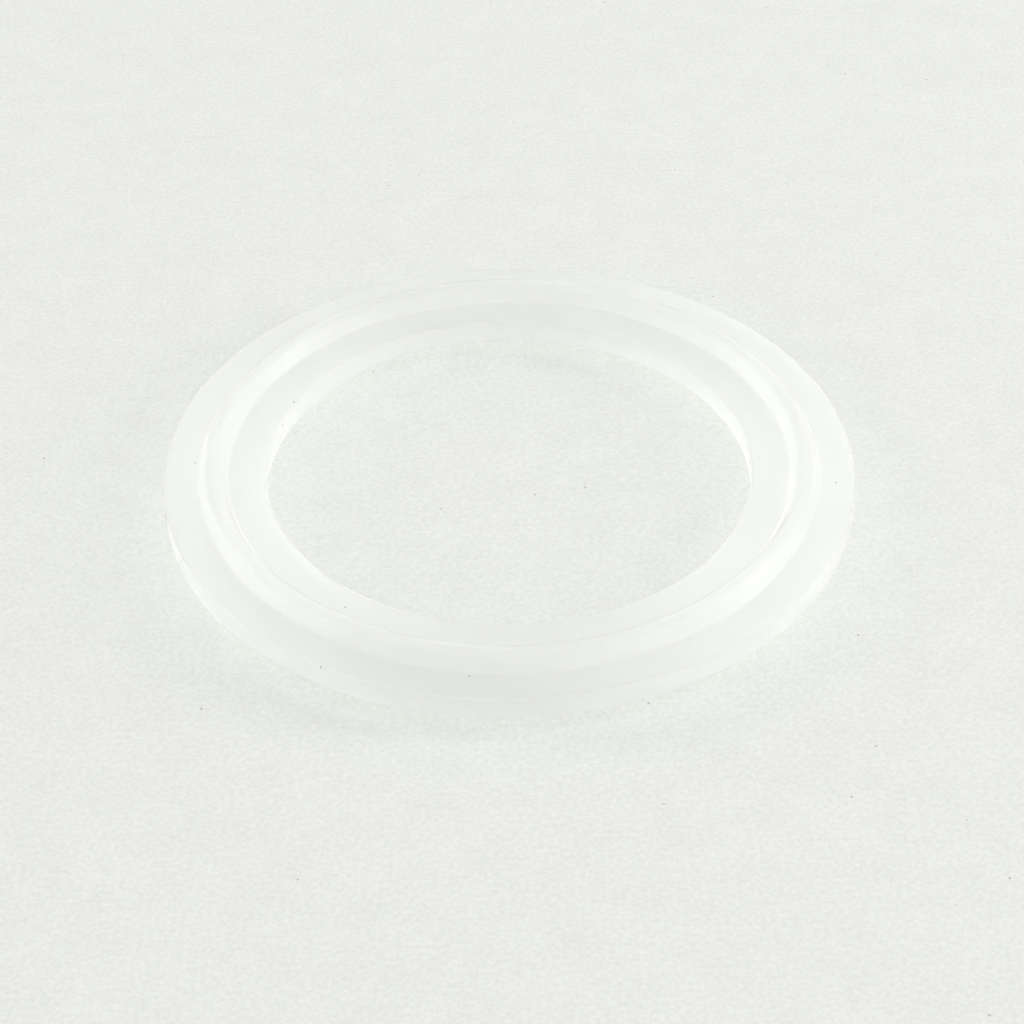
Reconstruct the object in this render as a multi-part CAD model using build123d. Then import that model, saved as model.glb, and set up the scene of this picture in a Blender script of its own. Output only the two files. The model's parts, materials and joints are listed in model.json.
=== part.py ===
from build123d import *
import os
from math import cos, radians, sin, tan

# Driving dimensions, in millimetres and degrees

# The flat ring that lies between the faces of two pipe ferrules: across its face, going outwards,
# lie the bore, the inner flat, the bead and the outer flat
bore_diameter = 35.5
inner_flat_width = 2.775
outer_flat_width = 2.575
flange_thickness = 1.8

# The bead on each face, which sits in the groove of a ferrule
bead_width = 2.15
bead_height = 1.3
bead_draft = 26

# The small bevel along the edges of the rim and of the bore
edge_bevel = 0.12

# Dependent dimensions

flange_width = inner_flat_width + bead_width + outer_flat_width
flange_middle_radius = bore_diameter / 2 + flange_width / 2
face_height = flange_thickness / 2
bead_circle_radius = bore_diameter / 2 + inner_flat_width + bead_width / 2
crest_height = face_height + bead_height
draft = radians(bead_draft)
crown_radius = (bead_width / 2 - bead_height * tan(draft)) * cos(draft) / (1 - sin(draft))


def flange_section():
    """The flat ring's section, with its four corners bevelled"""
    section = Pos(flange_middle_radius, 0) * Rectangle(flange_width, flange_thickness)
    return chamfer(section.vertices(), edge_bevel)


def bead_section():
    """The upper bead's section: drafted flanks up from the flat face, and a round crown tangent to both"""
    foot = bead_width / 2
    shoulder = crown_radius * cos(draft)
    shoulder_height = crest_height - crown_radius * (1 - sin(draft))
    crown = ThreePointArc(
        (bead_circle_radius - shoulder, shoulder_height),
        (bead_circle_radius, crest_height),
        (bead_circle_radius + shoulder, shoulder_height),
    )
    inner_foot = (bead_circle_radius - foot, face_height)
    outer_foot = (bead_circle_radius + foot, face_height)
    flanks = Polyline(crown @ 0, inner_foot, outer_foot, crown @ 1)
    return make_face([crown, flanks])


def gasket():
    """The moulded ring: the flange and a bead on both faces, in one section turned about the Z axis"""
    bead = bead_section()
    section = flange_section() + bead + mirror(bead, about=Plane.XZ)
    return revolve(Plane.XZ * section, axis=Axis.Z)


os.makedirs("parts", exist_ok=True)
export_step(gasket(), "parts/gasket.step")
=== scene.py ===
"""Sanitary clamp gasket of milky silicone, dressed for a studio picture.

The moulded ring is one surface of revolution. Its section, a flat flange with a bead on both faces, is a
closed outline of straight runs and round corners, which is carried round the Z axis. The sizes come from
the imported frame, and the camera, lamps and floor make up the stage.
"""

import json
from math import cos, radians, sin, tan

import bpy
import numpy as np
from mathutils import Matrix, Vector


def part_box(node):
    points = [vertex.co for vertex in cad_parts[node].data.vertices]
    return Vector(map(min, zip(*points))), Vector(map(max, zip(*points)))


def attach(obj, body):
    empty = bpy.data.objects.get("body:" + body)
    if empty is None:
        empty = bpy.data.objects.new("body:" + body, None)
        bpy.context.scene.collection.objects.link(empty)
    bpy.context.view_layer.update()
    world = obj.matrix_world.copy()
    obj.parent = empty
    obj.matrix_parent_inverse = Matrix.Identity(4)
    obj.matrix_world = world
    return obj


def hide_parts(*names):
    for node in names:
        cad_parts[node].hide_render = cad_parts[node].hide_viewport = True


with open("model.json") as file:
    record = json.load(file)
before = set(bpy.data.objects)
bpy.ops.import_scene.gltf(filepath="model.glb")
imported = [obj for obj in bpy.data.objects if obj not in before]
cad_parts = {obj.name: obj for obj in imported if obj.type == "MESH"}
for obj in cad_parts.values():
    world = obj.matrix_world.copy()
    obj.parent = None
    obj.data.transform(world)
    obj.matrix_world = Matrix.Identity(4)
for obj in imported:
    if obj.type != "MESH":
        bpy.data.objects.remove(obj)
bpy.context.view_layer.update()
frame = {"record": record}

bl_info = {
    "name": "Sanitary Clamp Gasket",
    "version": (1, 0, 0),
    "blender": (4, 5, 0),
    "location": "3D View > Sidebar > Gasket",
    "description": "Makes the silicone ring of a clamped ferrule joint and the stage it is pictured on",
    "category": "Object",
}

NODE = "gasket"
BODY = "root"
MM = 0.001

# Points along the arc of an edge, of a bead's foot and of a bead's crown
EDGE_POINTS, FOOT_POINTS, CROWN_POINTS = 7, 6, 25
# Distance from an arc to the extra point on the straight run beside it
RUN_MARGIN = 0.03 * MM

# Values between which nearly all of Blender's noise lies
NOISE_SPAN = (0.3, 0.7)
# How far the grain moves the roughness up and down
ROUGHNESS_SWING = 0.03
# Layer Weight's Facing where light meets a wall at 50 degrees, and where it meets it at 66 degrees: a wall
# lets through less and less of the lamps' light between them
PASSING_SPAN = (0.36, 0.59)
# Shares of the fine grain and of the clouds in the floor's darker colour
FLOOR_GRAIN_SHARE, FLOOR_CLOUD_SHARE = 0.8, 0.2
FLOOR_ROUGHNESS = 0.9

SENSOR_WIDTH = 36

MOUNTS = {mount["name"]: mount for mount in frame["record"]["mounts"]}
LOWEST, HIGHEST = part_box(NODE)


class GasketSizes(bpy.types.PropertyGroup):
    """Sizes of the moulded ring"""

    bore_radius: bpy.props.FloatProperty(
        name="Bore Radius",
        description="From the axis to the wall of the bore",
        default=MOUNTS["bore"]["dims"]["r_mm"] * MM,
        unit="LENGTH",
    )
    rim_radius: bpy.props.FloatProperty(
        name="Rim Radius",
        description="From the axis to the outer rim",
        default=MOUNTS["rim"]["dims"]["r_mm"] * MM,
        unit="LENGTH",
    )
    face_height: bpy.props.FloatProperty(
        name="Face Height",
        description="From the middle plane up to the flat face",
        default=MOUNTS["upper_inner_face"]["pos_m"][2],
        unit="LENGTH",
    )
    bead_height: bpy.props.FloatProperty(
        name="Bead Height",
        description="How far the bead's crest stands above the flat face",
        default=HIGHEST[2] - MOUNTS["upper_inner_face"]["pos_m"][2],
        unit="LENGTH",
    )
    bead_radius: bpy.props.FloatProperty(
        name="Bead Circle Radius",
        description="From the axis to the crest of the bead",
        default=21.6 * MM,
        unit="LENGTH",
    )
    bead_width: bpy.props.FloatProperty(
        name="Bead Width",
        description="Width of the bead where it meets the flat face",
        default=2.15 * MM,
        unit="LENGTH",
    )
    bead_draft: bpy.props.FloatProperty(
        name="Bead Draft",
        description="Lean of the bead's flanks from upright",
        default=radians(26),
        subtype="ANGLE",
    )
    edge_radius: bpy.props.FloatProperty(
        name="Edge Rounding",
        description="Rounding along the edges of the bore and of the rim",
        default=0.12 * MM,
        unit="LENGTH",
    )
    foot_radius: bpy.props.FloatProperty(
        name="Foot Rounding",
        description="Hollow rounding where the bead meets the flat face",
        default=0.25 * MM,
        unit="LENGTH",
    )
    turns: bpy.props.IntProperty(
        name="Steps Round the Axis",
        description="Number of sections that are carried round the axis",
        default=640,
        min=32,
    )


class SiliconeFinish(bpy.types.PropertyGroup):
    """Colour, cloudiness and gloss of the silicone"""

    colour: bpy.props.FloatVectorProperty(
        name="Colour",
        description="Milky white of the cured rubber",
        subtype="COLOR",
        size=3,
        min=0,
        max=1,
        default=(0.95, 0.955, 0.95),
    )
    cloud_colour: bpy.props.FloatVectorProperty(
        name="Cloud Colour",
        description="Colour of the faint clouds in the rubber",
        subtype="COLOR",
        size=3,
        min=0,
        max=1,
        default=(0.935, 0.942, 0.934),
    )
    speck_colour: bpy.props.FloatVectorProperty(
        name="Speck Colour",
        description="Colour of the few specks of dust on the surface",
        subtype="COLOR",
        size=3,
        min=0,
        max=1,
        default=(0.3, 0.3, 0.28),
    )
    milkiness: bpy.props.FloatProperty(
        name="Milkiness",
        description="Share of the light that is scattered below the surface instead of going through",
        subtype="FACTOR",
        min=0,
        max=1,
        default=0.33,
    )
    straight_light: bpy.props.FloatProperty(
        name="Straight Light",
        description="Share of the lamps' light that a steep wall of the ring lets through",
        subtype="FACTOR",
        min=0,
        max=1,
        default=0.82,
    )
    slanting_light: bpy.props.FloatProperty(
        name="Slanting Light",
        description="Share of the lamps' light that a flat face of the ring lets through",
        subtype="FACTOR",
        min=0,
        max=1,
        default=0.0,
    )
    roughness: bpy.props.FloatProperty(
        name="Roughness",
        description="Roughness of the moulded surface's gloss",
        subtype="FACTOR",
        min=0,
        max=1,
        default=0.3,
    )
    gloss: bpy.props.FloatProperty(
        name="Gloss",
        description="Strength of the clear gloss on the surface",
        subtype="FACTOR",
        min=0,
        max=1,
        default=0.4,
    )
    blur: bpy.props.FloatProperty(
        name="Blur",
        description="How much the rubber blurs what shows through it",
        subtype="FACTOR",
        min=0,
        max=1,
        default=0.9,
    )
    index: bpy.props.FloatProperty(
        name="Index of Refraction",
        description="How strongly the rubber bends light",
        default=1.41,
    )
    scatter_depth: bpy.props.FloatProperty(
        name="Scatter Depth",
        description="How far light spreads inside the rubber",
        default=6.0 * MM,
        unit="LENGTH",
    )
    grain_size: bpy.props.FloatProperty(
        name="Grain Size",
        description="Spacing of the fine satin grain",
        default=0.35 * MM,
        unit="LENGTH",
    )
    grain_depth: bpy.props.FloatProperty(
        name="Grain Depth",
        description="Depth of the fine satin grain",
        default=0.003 * MM,
        unit="LENGTH",
    )
    cloud_size: bpy.props.FloatProperty(
        name="Cloud Size",
        description="Spacing of the faint clouds in the rubber",
        default=7.0 * MM,
        unit="LENGTH",
    )
    speck_spacing: bpy.props.FloatProperty(
        name="Speck Spacing",
        description="Spacing of the specks of dust, of which only those at the surface show",
        default=2.5 * MM,
        unit="LENGTH",
    )
    speck_radius: bpy.props.FloatProperty(
        name="Speck Radius",
        description="Largest radius of a speck of dust",
        default=0.07 * MM,
        unit="LENGTH",
    )


class StudioStage(bpy.types.PropertyGroup):
    """Camera, floor and light"""

    camera_distance: bpy.props.FloatProperty(
        name="Camera Distance",
        description="From the camera to the point it looks at",
        default=200.03 * MM,
        unit="LENGTH",
    )
    camera_elevation: bpy.props.FloatProperty(
        name="Camera Elevation",
        description="How steeply the camera looks down",
        default=radians(39.4),
        subtype="ANGLE",
    )
    camera_azimuth: bpy.props.FloatProperty(
        name="Camera Azimuth",
        description="How far the camera stands round from the front",
        default=radians(-0.07),
        subtype="ANGLE",
    )
    camera_roll: bpy.props.FloatProperty(
        name="Camera Roll",
        description="How far the camera leans to its side",
        default=radians(-0.697),
        subtype="ANGLE",
    )
    camera_target: bpy.props.FloatVectorProperty(
        name="Camera Target",
        description="Point of the middle plane that the camera looks at",
        subtype="TRANSLATION",
        size=3,
        default=(0.19 * MM, -4.54 * MM, 0),
    )
    camera_lens: bpy.props.FloatProperty(
        name="Focal Length",
        description="Focal length on a sensor 36 mm wide",
        default=97.37,
        subtype="DISTANCE_CAMERA",
    )
    floor_colour: bpy.props.FloatVectorProperty(
        name="Floor Colour",
        description="Pale colour of the floor",
        subtype="COLOR",
        size=3,
        min=0,
        max=1,
        default=(0.94, 0.955, 0.912),
    )
    floor_grain_colour: bpy.props.FloatVectorProperty(
        name="Floor Grain Colour",
        description="Slightly darker colour between the floor's fibres",
        subtype="COLOR",
        size=3,
        min=0,
        max=1,
        default=(0.825, 0.838, 0.8),
    )
    floor_reach: bpy.props.FloatProperty(
        name="Floor Reach",
        description="From the middle of the floor to its edge",
        default=3.0,
        unit="LENGTH",
    )
    floor_grain_size: bpy.props.FloatProperty(
        name="Floor Grain Size",
        description="Spacing of the floor's fine grain",
        default=0.32 * MM,
        unit="LENGTH",
    )
    floor_grain_depth: bpy.props.FloatProperty(
        name="Floor Grain Depth",
        description="Depth of the floor's fine grain",
        default=0.01 * MM,
        unit="LENGTH",
    )
    floor_cloud_size: bpy.props.FloatProperty(
        name="Floor Cloud Size",
        description="Spacing of the floor's faint unevenness",
        default=3.0 * MM,
        unit="LENGTH",
    )
    floor_speck_spacing: bpy.props.FloatProperty(
        name="Floor Speck Spacing",
        description="Spacing of the specks of dust, of which only those at the floor show",
        default=4.0 * MM,
        unit="LENGTH",
    )
    floor_speck_radius: bpy.props.FloatProperty(
        name="Floor Speck Radius",
        description="Largest radius of a speck of dust on the floor",
        default=0.1 * MM,
        unit="LENGTH",
    )
    floor_speck_colour: bpy.props.FloatVectorProperty(
        name="Floor Speck Colour",
        description="Colour of the specks of dust on the floor",
        subtype="COLOR",
        size=3,
        min=0,
        max=1,
        default=(0.6, 0.61, 0.57),
    )
    sky_strength: bpy.props.FloatProperty(
        name="Sky Strength",
        description="Even light from all round, where 1 is white",
        default=0.65,
    )
    sky_white: bpy.props.FloatProperty(
        name="Sky White",
        description="How bright the sky looks where it is seen, mirrored or shows through",
        default=1.0,
    )
    floor_evenness: bpy.props.FloatProperty(
        name="Floor Evenness",
        description="Share of the floor's look that is its own even colour instead of light and shadow",
        subtype="FACTOR",
        min=0,
        max=1,
        default=0.34,
    )
    lamp_distance: bpy.props.FloatProperty(
        name="Lamp Distance",
        description="From the ring to each lamp",
        default=0.6,
        unit="LENGTH",
    )
    lamp_width: bpy.props.FloatProperty(
        name="Lamp Width",
        description="Width of each upright lamp",
        default=0.15,
        unit="LENGTH",
    )
    lamp_height: bpy.props.FloatProperty(
        name="Lamp Height",
        description="Height of each upright lamp",
        default=0.5,
        unit="LENGTH",
    )
    left_azimuth: bpy.props.FloatProperty(
        name="Left Lamp Azimuth",
        description="Direction of the left lamp round the ring, from +X",
        default=radians(164),
        subtype="ANGLE",
    )
    left_elevation: bpy.props.FloatProperty(
        name="Left Lamp Elevation",
        description="Height angle of the left lamp",
        default=radians(24),
        subtype="ANGLE",
    )
    left_power: bpy.props.FloatProperty(
        name="Left Lamp Power",
        description="Power of the left lamp, in watts",
        default=0.75,
    )
    right_azimuth: bpy.props.FloatProperty(
        name="Right Lamp Azimuth",
        description="Direction of the right lamp round the ring, from +X",
        default=radians(2),
        subtype="ANGLE",
    )
    right_elevation: bpy.props.FloatProperty(
        name="Right Lamp Elevation",
        description="Height angle of the right lamp",
        default=radians(24),
        subtype="ANGLE",
    )
    right_power: bpy.props.FloatProperty(
        name="Right Lamp Power",
        description="Power of the right lamp, in watts",
        default=1.75,
    )


def unit_vectors(vectors):
    """Each vector divided by its own length"""
    return vectors / np.linalg.norm(vectors, axis=-1, keepdims=True)


def rounded_outline(corners, radii, arc_points, margin):
    """A closed outline with rounded corners, as points in a plane.

    At each corner an arc touches both straight runs. Its centre lies on the line that halves the corner's
    angle, at the radius divided by the sine of half that angle, and it touches the runs at the radius
    divided by the tangent of half that angle. A point of the arc is the centre plus the radius times a
    direction that turns evenly from one touching point to the other. One more point on each run, a small
    margin before and after the arc, keeps the flat stretches flat when the surface is shaded smoothly.
    """
    back = unit_vectors(np.roll(corners, 1, axis=0) - corners)
    ahead = unit_vectors(np.roll(corners, -1, axis=0) - corners)
    half_angle = np.arccos(np.sum(back * ahead, axis=1)) / 2
    reach = (radii / np.tan(half_angle))[:, None]
    centres = corners + unit_vectors(back + ahead) * (radii / np.sin(half_angle))[:, None]
    first = unit_vectors(corners + back * reach - centres)
    last = unit_vectors(corners + ahead * reach - centres)
    turned_angle = np.pi - 2 * half_angle

    counts = arc_points + 2
    corner = np.repeat(np.arange(len(corners)), counts)
    place = np.arange(len(corner)) - np.repeat(np.cumsum(counts) - counts, counts)
    share = np.clip((place - 1) / (arc_points[corner] - 1), 0, 1)
    angle = turned_angle[corner]
    direction = (
        np.sin((1 - share) * angle)[:, None] * first[corner] + np.sin(share * angle)[:, None] * last[corner]
    ) / np.sin(angle)[:, None]
    outline = centres[corner] + radii[corner][:, None] * direction
    outline += (place == 0)[:, None] * back[corner] * margin
    outline += (place == counts[corner] - 1)[:, None] * ahead[corner] * margin
    return outline


def gasket_outline(sizes):
    """The ring's section: radius from the axis, and height above the middle plane.

    Each bead is a corner whose two sides are its flanks. They would meet at half the bead's width divided
    by the tangent of the draft above the flat face, and the crown's arc rounds that corner off so that its
    crest stands at the bead's height. The lower half is the upper half turned over.
    """
    half_width = sizes.bead_width / 2
    meeting_height = half_width / tan(sizes.bead_draft)
    lean = sin(sizes.bead_draft)
    crown_radius = (meeting_height - sizes.bead_height) * lean / (1 - lean)
    upper = np.array([
        (sizes.rim_radius, sizes.face_height),
        (sizes.bead_radius + half_width, sizes.face_height),
        (sizes.bead_radius, sizes.face_height + meeting_height),
        (sizes.bead_radius - half_width, sizes.face_height),
        (sizes.bore_radius, sizes.face_height),
    ])
    upper_radii = np.array([
        sizes.edge_radius, sizes.foot_radius, crown_radius, sizes.foot_radius, sizes.edge_radius,
    ])
    upper_points = np.array([EDGE_POINTS, FOOT_POINTS, CROWN_POINTS, FOOT_POINTS, EDGE_POINTS])
    corners = np.concatenate([upper, upper[::-1] * (1, -1)])
    radii = np.concatenate([upper_radii, upper_radii[::-1]])
    points = np.concatenate([upper_points, upper_points[::-1]])
    return rounded_outline(corners, radii, points, RUN_MARGIN)


def turned_surface(outline, turns):
    """Carries a closed outline round the Z axis.

    A point at radius r and height z lies at x = r cos(angle), y = r sin(angle) and z, and each face joins
    two neighbouring points of two neighbouring angles. The outline runs anticlockwise, so faces look out.
    """
    angle = 2 * np.pi * np.arange(turns)[:, None] / turns
    radius, height = outline.T
    points = np.stack([radius * np.cos(angle), radius * np.sin(angle), height + 0 * angle], axis=-1)
    here = np.arange(points.shape[0] * points.shape[1]).reshape(points.shape[:2])
    next_angle = np.roll(here, -1, axis=0)
    corners = (here, next_angle, np.roll(next_angle, -1, axis=1), np.roll(here, -1, axis=1))
    return points.reshape(-1, 3), np.stack(corners, axis=-1).reshape(-1, 4)


def mesh_object(name, points, faces):
    """An object of four-sided faces, shaded smoothly, whose place is in its mesh"""
    mesh = bpy.data.meshes.new(name)
    mesh.vertices.add(len(points))
    mesh.vertices.foreach_set("co", points.ravel())
    mesh.loops.add(faces.size)
    mesh.loops.foreach_set("vertex_index", faces.ravel())
    mesh.polygons.add(len(faces))
    mesh.polygons.foreach_set("loop_start", np.arange(0, faces.size, 4))
    mesh.polygons.foreach_set("use_smooth", np.ones(len(faces), dtype=bool))
    mesh.update(calc_edges=True)
    mesh.validate()
    made = bpy.data.objects.new(name, mesh)
    bpy.context.scene.collection.objects.link(made)
    return made


def new_material(name):
    """An empty node material with a Principled shader, returned with its nodes and links"""
    material = bpy.data.materials.new(name)
    material.use_nodes = True
    nodes = material.node_tree.nodes
    nodes.clear()
    output = nodes.new("ShaderNodeOutputMaterial")
    shader = nodes.new("ShaderNodeBsdfPrincipled")
    material.node_tree.links.new(shader.outputs["BSDF"], output.inputs["Surface"])
    return material, shader, nodes, material.node_tree.links


def surface_grain():
    """The grain that both materials have: a fine grain with its bump, and wide faint clouds.

    Both are noise on Object coordinates, with as many waves in a metre as one divided by the size. Grain
    and Cloud run from about 0.3 to 0.7.
    """
    if "surface_grain" in bpy.data.node_groups:
        return bpy.data.node_groups["surface_grain"]
    group = bpy.data.node_groups.new("surface_grain", "ShaderNodeTree")
    for name in ("Grain Size", "Grain Depth", "Cloud Size"):
        group.interface.new_socket(name=name, in_out="INPUT", socket_type="NodeSocketFloat")
    group.interface.new_socket(name="Grain", in_out="OUTPUT", socket_type="NodeSocketFloat")
    group.interface.new_socket(name="Cloud", in_out="OUTPUT", socket_type="NodeSocketFloat")
    group.interface.new_socket(name="Normal", in_out="OUTPUT", socket_type="NodeSocketVector")
    nodes, links = group.nodes, group.links
    given = nodes.new("NodeGroupInput")
    result = nodes.new("NodeGroupOutput")
    place = nodes.new("ShaderNodeTexCoord")
    for name, detail in (("Grain", 4), ("Cloud", 2)):
        scale = nodes.new("ShaderNodeMath")
        scale.operation = "DIVIDE"
        scale.inputs[0].default_value = 1
        links.new(given.outputs[name + " Size"], scale.inputs[1])
        noise = nodes.new("ShaderNodeTexNoise")
        noise.inputs["Detail"].default_value = detail
        links.new(place.outputs["Object"], noise.inputs["Vector"])
        links.new(scale.outputs[0], noise.inputs["Scale"])
        links.new(noise.outputs["Fac"], result.inputs[name])
        if name == "Grain":
            bump = nodes.new("ShaderNodeBump")
            links.new(noise.outputs["Fac"], bump.inputs["Height"])
            links.new(given.outputs["Grain Depth"], bump.inputs["Distance"])
            links.new(bump.outputs["Normal"], result.inputs["Normal"])
    return group


def add_grain(nodes, grain_size, grain_depth, cloud_size):
    """The shared grain with one material's own sizes"""
    grain = nodes.new("ShaderNodeGroup")
    grain.node_tree = surface_grain()
    grain.inputs["Grain Size"].default_value = grain_size
    grain.inputs["Grain Depth"].default_value = grain_depth
    grain.inputs["Cloud Size"].default_value = cloud_size
    return grain


def ranged(nodes, links, value, span, low, high):
    """A value that runs from low to high where the given one runs over the span"""
    node = nodes.new("ShaderNodeMapRange")
    node.inputs["From Min"].default_value, node.inputs["From Max"].default_value = span
    node.inputs["To Min"].default_value = low
    node.inputs["To Max"].default_value = high
    links.new(value, node.inputs["Value"])
    return node.outputs["Result"]


def mixed_colours(nodes, links, share, first, second):
    """The first colour where the share is 0, and the second where it is 1"""
    mix = nodes.new("ShaderNodeMix")
    mix.data_type = "RGBA"
    links.new(share, mix.inputs["Factor"])
    for socket, colour in ((mix.inputs[6], first), (mix.inputs[7], second)):
        if isinstance(colour, bpy.types.NodeSocket):
            links.new(colour, socket)
        else:
            socket.default_value = (*colour, 1)
    return mix.outputs[2]


def speck_mask(nodes, links, spacing, radius):
    """1 within the radius of points strewn through space about the spacing apart, and 0 elsewhere"""
    place = nodes.new("ShaderNodeTexCoord")
    points = nodes.new("ShaderNodeTexVoronoi")
    points.inputs["Scale"].default_value = 1 / spacing
    links.new(place.outputs["Object"], points.inputs["Vector"])
    near = nodes.new("ShaderNodeMath")
    near.operation = "LESS_THAN"
    near.inputs[1].default_value = radius / spacing
    links.new(points.outputs["Distance"], near.inputs[0])
    return near.outputs[0]


def silicone_material(finish):
    """Milky rubber, which scatters part of the light below its surface and lets part through, much blurred.

    The scattering share counts only from outside. A ray that looks for a lamp meets no shader: it keeps
    the straight share at steep walls and the slanting share at flat faces.
    """
    material, clear, nodes, links = new_material("milky_silicone")
    grain = add_grain(nodes, finish.grain_size, finish.grain_depth, finish.cloud_size)
    clouds = ranged(nodes, links, grain.outputs["Cloud"], NOISE_SPAN, 0, 1)
    rubber = mixed_colours(nodes, links, clouds, finish.colour, finish.cloud_colour)
    specks = speck_mask(nodes, links, finish.speck_spacing, finish.speck_radius)
    colour = mixed_colours(nodes, links, specks, rubber, finish.speck_colour)

    milky = nodes.new("ShaderNodeBsdfPrincipled")
    clear.inputs["Transmission Weight"].default_value = 1
    milky.inputs["Subsurface Weight"].default_value = 1
    milky.inputs["Subsurface Radius"].default_value = (1, 1, 1)
    milky.inputs["Subsurface Scale"].default_value = finish.scatter_depth
    for shader, roughness in ((clear, finish.blur), (milky, finish.roughness)):
        shader.inputs["IOR"].default_value = finish.index
        links.new(colour, shader.inputs["Base Color"])
        links.new(grain.outputs["Normal"], shader.inputs["Normal"])
        low, high = roughness - ROUGHNESS_SWING, roughness + ROUGHNESS_SWING
        grained = ranged(nodes, links, grain.outputs["Grain"], NOISE_SPAN, low, high)
        links.new(grained, shader.inputs["Roughness"])
    clear.inputs["Coat Weight"].default_value = finish.gloss
    clear.inputs["Coat Roughness"].default_value = finish.roughness
    clear.inputs["Coat IOR"].default_value = finish.index

    side = nodes.new("ShaderNodeNewGeometry")
    share = ranged(nodes, links, side.outputs["Backfacing"], (0, 1), finish.milkiness, 0)
    body = nodes.new("ShaderNodeMixShader")
    links.new(share, body.inputs["Fac"])
    links.new(clear.outputs["BSDF"], body.inputs[1])
    links.new(milky.outputs["BSDF"], body.inputs[2])

    passing = nodes.new("ShaderNodeBsdfTransparent")
    slant = nodes.new("ShaderNodeLayerWeight")
    facing = slant.outputs["Facing"]
    let_through = ranged(nodes, links, facing, PASSING_SPAN, finish.straight_light, finish.slanting_light)
    links.new(let_through, passing.inputs["Color"])
    path = nodes.new("ShaderNodeLightPath")
    whole = nodes.new("ShaderNodeMixShader")
    links.new(path.outputs["Is Shadow Ray"], whole.inputs["Fac"])
    links.new(body.outputs["Shader"], whole.inputs[1])
    links.new(passing.outputs["BSDF"], whole.inputs[2])
    links.new(whole.outputs["Shader"], nodes["Material Output"].inputs["Surface"])
    return material


def math_node(nodes, links, operation, first, second):
    """The result of one sum, where each side is a socket or a number"""
    node = nodes.new("ShaderNodeMath")
    node.operation = operation
    for socket, value in zip(node.inputs, (first, second)):
        if isinstance(value, bpy.types.NodeSocket):
            links.new(value, socket)
        else:
            socket.default_value = value
    return node.outputs[0]


def seen_directly(nodes, links):
    """1 where a path shows what it meets: straight to the camera, mirrored or passed through, but not
    after a matt bounce
    """
    path = nodes.new("ShaderNodeLightPath")
    shown = path.outputs["Is Camera Ray"]
    for name in ("Is Glossy Ray", "Is Transmission Ray"):
        shown = math_node(nodes, links, "MAXIMUM", shown, path.outputs[name])
    not_scattered = math_node(nodes, links, "LESS_THAN", path.outputs["Diffuse Depth"], 0.5)
    return math_node(nodes, links, "MULTIPLY", shown, not_scattered)


def floor_material(stage):
    """Matt pale floor, which shows its own even colour where it is seen and keeps a part of its shadows"""
    material, shader, nodes, links = new_material("pale_floor")
    grain = add_grain(nodes, stage.floor_grain_size, stage.floor_grain_depth, stage.floor_cloud_size)
    fine = ranged(nodes, links, grain.outputs["Grain"], NOISE_SPAN, 0, FLOOR_GRAIN_SHARE)
    wide = ranged(nodes, links, grain.outputs["Cloud"], NOISE_SPAN, 0, FLOOR_CLOUD_SHARE)
    depth = math_node(nodes, links, "ADD", fine, wide)
    fibres = mixed_colours(nodes, links, depth, stage.floor_colour, stage.floor_grain_colour)
    specks = speck_mask(nodes, links, stage.floor_speck_spacing, stage.floor_speck_radius)
    colour = mixed_colours(nodes, links, specks, fibres, stage.floor_speck_colour)
    links.new(colour, shader.inputs["Base Color"])
    shader.inputs["Roughness"].default_value = FLOOR_ROUGHNESS
    shader.inputs["Specular IOR Level"].default_value = 0
    links.new(grain.outputs["Normal"], shader.inputs["Normal"])
    glow = nodes.new("ShaderNodeEmission")
    links.new(colour, glow.inputs["Color"])
    mix = nodes.new("ShaderNodeMixShader")
    evenness = math_node(nodes, links, "MULTIPLY", seen_directly(nodes, links), stage.floor_evenness)
    links.new(evenness, mix.inputs["Fac"])
    links.new(shader.outputs["BSDF"], mix.inputs[1])
    links.new(glow.outputs["Emission"], mix.inputs[2])
    links.new(mix.outputs["Shader"], nodes["Material Output"].inputs["Surface"])
    return material


def direction_of(azimuth, elevation):
    """A unit vector at an azimuth from +X and an elevation above the floor"""
    return Vector((cos(elevation) * cos(azimuth), cos(elevation) * sin(azimuth), sin(elevation)))


def placed(direction, distance, target, roll=0.0):
    """The matrix of a lamp or camera that stands off in a direction and looks at the target"""
    turn = direction.to_track_quat("Z", "Y").to_matrix().to_4x4() @ Matrix.Rotation(roll, 4, "Z")
    return Matrix.Translation(Vector(target) + direction * distance) @ turn


def add_camera(stage):
    """The camera, at the photograph's viewing angle"""
    camera = bpy.data.cameras.new("camera")
    camera.lens = stage.camera_lens
    camera.sensor_width = SENSOR_WIDTH
    camera.clip_start = 10 * MM
    made = bpy.data.objects.new("camera", camera)
    direction = direction_of(stage.camera_azimuth - radians(90), stage.camera_elevation)
    made.matrix_world = placed(direction, stage.camera_distance, stage.camera_target, stage.camera_roll)
    bpy.context.scene.collection.objects.link(made)
    bpy.context.scene.camera = made


def add_lamp(name, stage, azimuth, elevation, power):
    """One soft upright lamp that looks at the ring"""
    lamp = bpy.data.lights.new(name, "AREA")
    lamp.shape = "RECTANGLE"
    lamp.size = stage.lamp_width
    lamp.size_y = stage.lamp_height
    lamp.energy = power
    made = bpy.data.objects.new(name, lamp)
    made.matrix_world = placed(direction_of(azimuth, elevation), stage.lamp_distance, (0, 0, 0))
    bpy.context.scene.collection.objects.link(made)


def add_floor(stage, height):
    """A flat square floor under the ring"""
    corners = np.array([(-1, -1), (1, -1), (1, 1), (-1, 1)]) * stage.floor_reach
    points = np.column_stack([corners, np.full(len(corners), height)])
    floor = mesh_object("floor", points, np.array([[0, 1, 2, 3]]))
    floor.data.materials.append(floor_material(stage))


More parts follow.
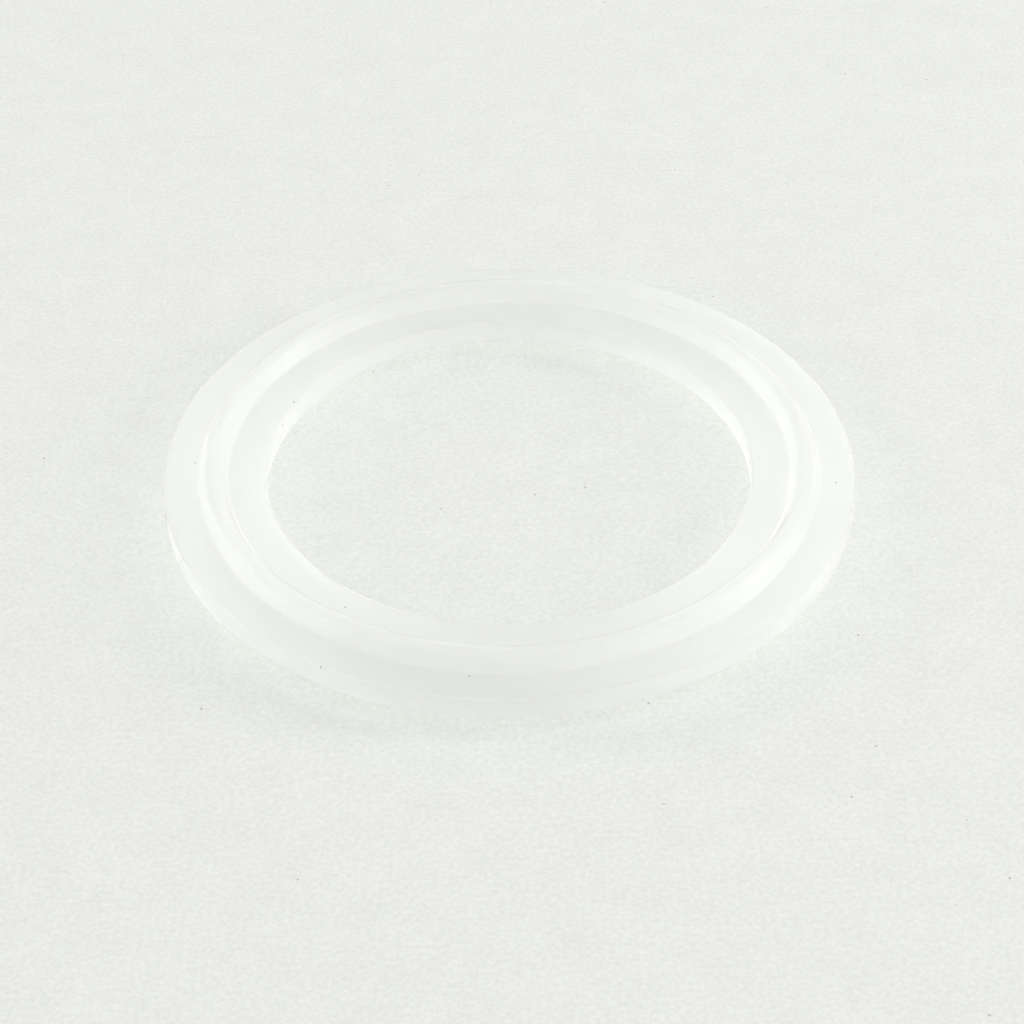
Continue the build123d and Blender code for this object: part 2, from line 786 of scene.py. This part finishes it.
def add_sky(stage):
    """Even white light from all round"""
    world = bpy.data.worlds.new("sky")
    world.use_nodes = True
    nodes, links = world.node_tree.nodes, world.node_tree.links
    background = nodes["Background"]
    background.inputs["Color"].default_value = (1, 1, 1, 1)
    strength = nodes.new("ShaderNodeMix")
    strength.inputs["A"].default_value = stage.sky_strength
    strength.inputs["B"].default_value = stage.sky_white
    links.new(seen_directly(nodes, links), strength.inputs["Factor"])
    links.new(strength.outputs["Result"], background.inputs["Strength"])
    bpy.context.scene.world = world


class GASKET_OT_ring(bpy.types.Operator):
    """Make the moulded silicone ring in place of its plain solid"""

    bl_idname = "gasket.ring"
    bl_label = "Silicone Ring"

    def execute(self, context):
        sizes = context.scene.gasket_sizes
        ring = mesh_object("silicone_ring", *turned_surface(gasket_outline(sizes), sizes.turns))
        ring.data.materials.append(silicone_material(context.scene.gasket_finish))
        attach(ring, BODY)
        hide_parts(NODE)
        return {"FINISHED"}


class GASKET_OT_stage(bpy.types.Operator):
    """Set up the floor, the soft light and the camera"""

    bl_idname = "gasket.stage"
    bl_label = "Studio Stage"

    def execute(self, context):
        stage = context.scene.gasket_stage
        add_floor(stage, LOWEST[2])
        add_sky(stage)
        add_lamp("left_lamp", stage, stage.left_azimuth, stage.left_elevation, stage.left_power)
        add_lamp("right_lamp", stage, stage.right_azimuth, stage.right_elevation, stage.right_power)
        add_camera(stage)
        context.scene.view_settings.view_transform = "Standard"
        return {"FINISHED"}


class GASKET_PT_panel(bpy.types.Panel):
    """The gasket's operators and settings"""

    bl_label = "Clamp Gasket"
    bl_space_type = "VIEW_3D"
    bl_region_type = "UI"
    bl_category = "Gasket"

    def draw(self, context):
        layout = self.layout
        for title, group, operator in (
            ("Ring", context.scene.gasket_sizes, GASKET_OT_ring),
            ("Silicone", context.scene.gasket_finish, None),
            ("Stage", context.scene.gasket_stage, GASKET_OT_stage),
        ):
            box = layout.box()
            box.label(text=title)
            for name in group.__annotations__:
                box.prop(group, name)
            if operator:
                box.operator(operator.bl_idname)


CLASSES = (GasketSizes, SiliconeFinish, StudioStage, GASKET_OT_ring, GASKET_OT_stage, GASKET_PT_panel)


def register():
    for made_class in CLASSES:
        bpy.utils.register_class(made_class)
    bpy.types.Scene.gasket_sizes = bpy.props.PointerProperty(type=GasketSizes)
    bpy.types.Scene.gasket_finish = bpy.props.PointerProperty(type=SiliconeFinish)
    bpy.types.Scene.gasket_stage = bpy.props.PointerProperty(type=StudioStage)


def unregister():
    del bpy.types.Scene.gasket_stage
    del bpy.types.Scene.gasket_finish
    del bpy.types.Scene.gasket_sizes
    for made_class in reversed(CLASSES):
        bpy.utils.unregister_class(made_class)


def main():
    """Makes the ring and the stage"""
    register()
    bpy.ops.gasket.ring()
    bpy.ops.gasket.stage()


if __name__ == "__main__":
    main()
